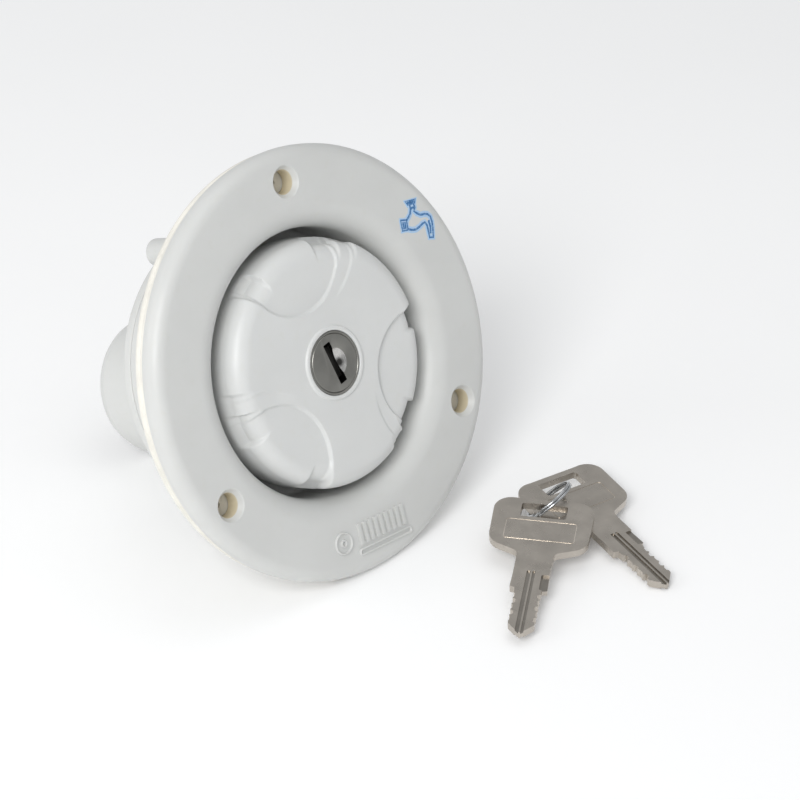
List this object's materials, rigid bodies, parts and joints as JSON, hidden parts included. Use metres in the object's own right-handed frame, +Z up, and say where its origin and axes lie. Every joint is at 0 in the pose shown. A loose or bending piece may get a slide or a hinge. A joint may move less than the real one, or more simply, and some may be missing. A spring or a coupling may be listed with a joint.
{
  "type": "lockable deck fill cap",
  "caption": "Round recessed filler with a flanged housing, hose spout, air nipple, bayonet cap with a keyed cam lock, and its keys on a ring.",
  "frame": {"origin": "on the cap's axis, in the plane of the panel face that the flange's gasket seals against", "axes": "the fitting stands in a vertical panel: -Y out of the face, +Y along the spout into the vehicle or hull, +Z up through the top screw hole, +X to the right seen from the front"},
  "size_m": [0.1348, 0.1416, 0.1426],
  "materials": {
    "white_plastic": "satin moulded white",
    "cream_gasket": "soft cream moulding",
    "black_rubber": "matte",
    "acetal": "smooth, natural",
    "stainless_steel": "bright",
    "steel_wire": "bright nickel-plated spring wire",
    "nickel": "satin nickel plate",
    "brass": "plain stamped sheet"
  },
  "bodies": {
    "housing": {"flange_housing": "white_plastic", "flange_gasket": "cream_gasket", "spout_body": "white_plastic", "spout_o_ring": "black_rubber", "rear_screw_1": "stainless_steel", "rear_screw_2": "stainless_steel", "rear_screw_3": "stainless_steel", "rear_screw_4": "stainless_steel"},
    "cap_seals": {"cap_seal": "black_rubber", "slip_washer": "acetal"},
    "cap": {"cap_shell": "white_plastic", "cap_core": "white_plastic", "cap_screw_1": "stainless_steel", "cap_screw_2": "stainless_steel", "cap_screw_3": "stainless_steel", "lock_barrel": "nickel", "barrel_o_ring": "black_rubber", "barrel_nut": "stainless_steel", "bolt_cover": "white_plastic", "cover_screw_1": "stainless_steel", "cover_screw_2": "stainless_steel"},
    "lock_plug": {"lock_plug": "nickel", "drive_cam": "stainless_steel", "cam_screw": "stainless_steel"},
    "bolt_a": {"lock_bolt_a": "stainless_steel"},
    "bolt_b": {"lock_bolt_b": "stainless_steel"},
    "shutter": {"slot_shutter": "nickel"},
    "wafer_1": {"wafer_1": "brass"},
    "wafer_2": {"wafer_2": "brass"},
    "wafer_3": {"wafer_3": "brass"},
    "wafer_4": {"wafer_4": "brass"},
    "wafer_5": {"wafer_5": "brass"},
    "keys": {"key_a": "nickel", "key_b": "nickel", "split_ring": "steel_wire"}
  },
  "joints": [
    {"name": "cap_lift", "type": "slide", "parent": "housing", "child": "cap_seals", "axis": [0, -1, 0], "range_m": [0, 0.06]},
    {"name": "cap_turn", "type": "hinge", "parent": "cap_seals", "child": "cap", "pos_m": [0, 0, 0], "axis": [0, 1, 0], "range_deg": [0, 60]},
    {"name": "key_turn", "type": "hinge", "parent": "cap", "child": "lock_plug", "pos_m": [0, 0, 0], "axis": [0, 1, 0], "range_deg": [0, 90]},
    {"name": "bolt_a_slide", "type": "slide", "parent": "cap", "child": "bolt_a", "axis": [-0.2504, 0, 0.9681], "range_m": [0, 0.005]},
    {"name": "bolt_b_slide", "type": "slide", "parent": "cap", "child": "bolt_b", "axis": [0.2504, 0, -0.9681], "range_m": [0, 0.005]},
    {"name": "shutter_swing", "type": "hinge", "parent": "lock_plug", "child": "shutter", "pos_m": [0.0014, -0.0098, 0.00036], "axis": [0.2504, 0, -0.9681], "range_deg": [0, 80], "stiffness_Nm_per_rad": 0.0004},
    {"name": "wafer_1_slide", "type": "slide", "parent": "lock_plug", "child": "wafer_1", "axis": [-0.2504, 0, 0.9681], "range_m": [0, 0.0007]},
    {"name": "wafer_2_slide", "type": "slide", "parent": "lock_plug", "child": "wafer_2", "axis": [0.2504, 0, -0.9681], "range_m": [0, 0.0007]},
    {"name": "wafer_3_slide", "type": "slide", "parent": "lock_plug", "child": "wafer_3", "axis": [-0.2504, 0, 0.9681], "range_m": [0, 0.0007]},
    {"name": "wafer_4_slide", "type": "slide", "parent": "lock_plug", "child": "wafer_4", "axis": [0.2504, 0, -0.9681], "range_m": [0, 0.0007]},
    {"name": "wafer_5_slide", "type": "slide", "parent": "lock_plug", "child": "wafer_5", "axis": [-0.2504, 0, 0.9681], "range_m": [0, 0.0007]},
    {"name": "keys_lift", "type": "slide", "parent": "housing", "child": "keys", "axis": [-0.0802, -0.392, 0.9165], "range_m": [0, 0.03]}
  ],
  "couplings": [
    {"joint": "key_turn", "follows": "bolt_a_slide", "rad_per_m": 314.16},
    {"joint": "bolt_b_slide", "follows": "bolt_a_slide", "ratio": 1},
    {"joint": "wafer_2_slide", "follows": "wafer_1_slide", "ratio": 1},
    {"joint": "wafer_3_slide", "follows": "wafer_1_slide", "ratio": 1},
    {"joint": "wafer_4_slide", "follows": "wafer_1_slide", "ratio": 1},
    {"joint": "wafer_5_slide", "follows": "wafer_1_slide", "ratio": 1}
  ]
}
